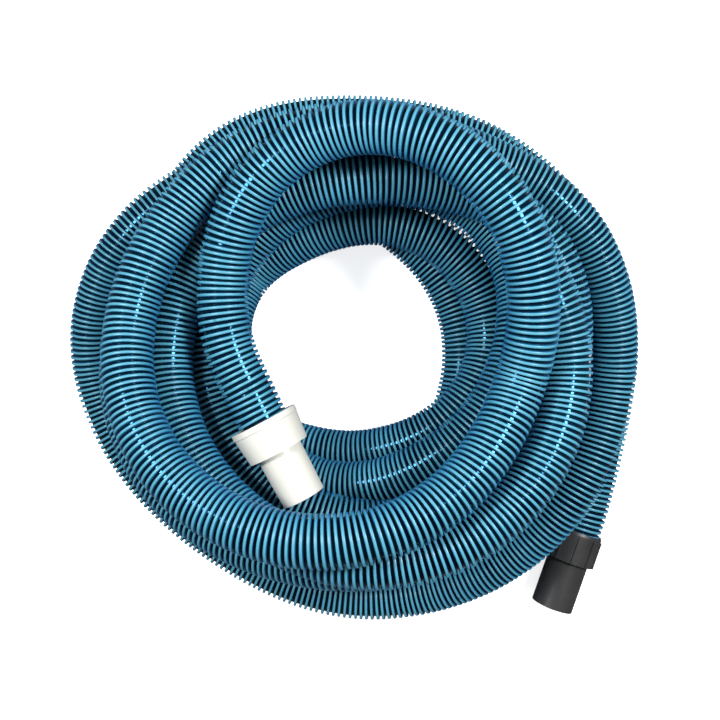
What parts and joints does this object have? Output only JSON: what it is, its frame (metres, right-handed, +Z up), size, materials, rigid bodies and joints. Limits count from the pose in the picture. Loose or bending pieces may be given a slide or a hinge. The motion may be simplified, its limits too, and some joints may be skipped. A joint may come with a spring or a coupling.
{
  "type": "pool vacuum hose",
  "caption": "Coiled flexible suction hose with a thin ribbed wall, a swivel cuff on its upper end and a fixed grip cuff on its lower end.",
  "frame": {"origin": "on the floor, under the middle of the coil's outside box", "axes": "+Z up, the coil lies flat in XY, grip cuff towards +X -Y"},
  "size_m": [0.6173, 0.5761, 0.2703],
  "materials": {
    "hose_wall": "glossy, thin flexible film",
    "hose_rib": "semi-gloss extruded bead",
    "white_plastic": "satin moulded",
    "black_plastic": "satin moulded",
    "sleeve_plastic": "matte moulded",
    "washer_plastic": "slippery, matte",
    "seal_rubber": "soft matte"
  },
  "bodies": {
    "coil": {"coil_wall": "hose_wall", "coil_rib": "hose_rib"},
    "lead_1": {"lead_1_wall": "hose_wall", "lead_1_rib": "hose_rib"},
    "lead_2": {"lead_2_wall": "hose_wall", "lead_2_rib": "hose_rib"},
    "lead_3": {"lead_3_wall": "hose_wall", "lead_3_rib": "hose_rib", "swivel_threaded_sleeve": "sleeve_plastic", "swivel_o_ring": "seal_rubber", "swivel_hose_gasket": "seal_rubber"},
    "swivel": {"swivel_cuff": "white_plastic", "swivel_retaining_cap": "white_plastic", "swivel_thrust_washer": "washer_plastic"},
    "tail_1": {"tail_1_wall": "hose_wall", "tail_1_rib": "hose_rib"},
    "tail_2": {"tail_2_wall": "hose_wall", "tail_2_rib": "hose_rib", "grip_cuff": "black_plastic", "grip_threaded_sleeve": "sleeve_plastic", "grip_hose_gasket": "seal_rubber"}
  },
  "joints": [
    {"name": "lead_lift_1", "type": "hinge", "parent": "coil", "child": "lead_1", "pos_m": [-0.09926, 0.14219, 0.1929], "axis": [-0.7544, 0.3391, 0.562], "range_deg": [0, 11.5]},
    {"name": "lead_lift_2", "type": "hinge", "parent": "lead_1", "child": "lead_2", "pos_m": [-0.12203, 0.0719, 0.17826], "axis": [-0.939, 0.0543, 0.3397], "range_deg": [0, 11.5]},
    {"name": "lead_lift_3", "type": "hinge", "parent": "lead_2", "child": "lead_3", "pos_m": [-0.11263, -0.00262, 0.17362], "axis": [-0.8681, -0.3602, 0.3415], "range_deg": [0, 11.5]},
    {"name": "cuff_swivel", "type": "hinge", "parent": "lead_3", "child": "swivel", "pos_m": [-0.08613, -0.05968, 0.17061], "axis": [0.4672, -0.8838, -0.0243], "continuous": true},
    {"name": "tail_swing_1", "type": "hinge", "parent": "coil", "child": "tail_1", "pos_m": [0.26667, -0.11408, 0.02669], "axis": [0, 0, 1], "range_deg": [0, 10]},
    {"name": "tail_swing_2", "type": "hinge", "parent": "tail_1", "child": "tail_2", "pos_m": [0.25612, -0.15368, 0.02799], "axis": [0, 0, 1], "range_deg": [0, 10]}
  ],
  "couplings": [
    {"joint": "lead_lift_2", "follows": "lead_lift_1", "ratio": 1},
    {"joint": "lead_lift_3", "follows": "lead_lift_1", "ratio": 1},
    {"joint": "tail_swing_2", "follows": "tail_swing_1", "ratio": 1}
  ]
}
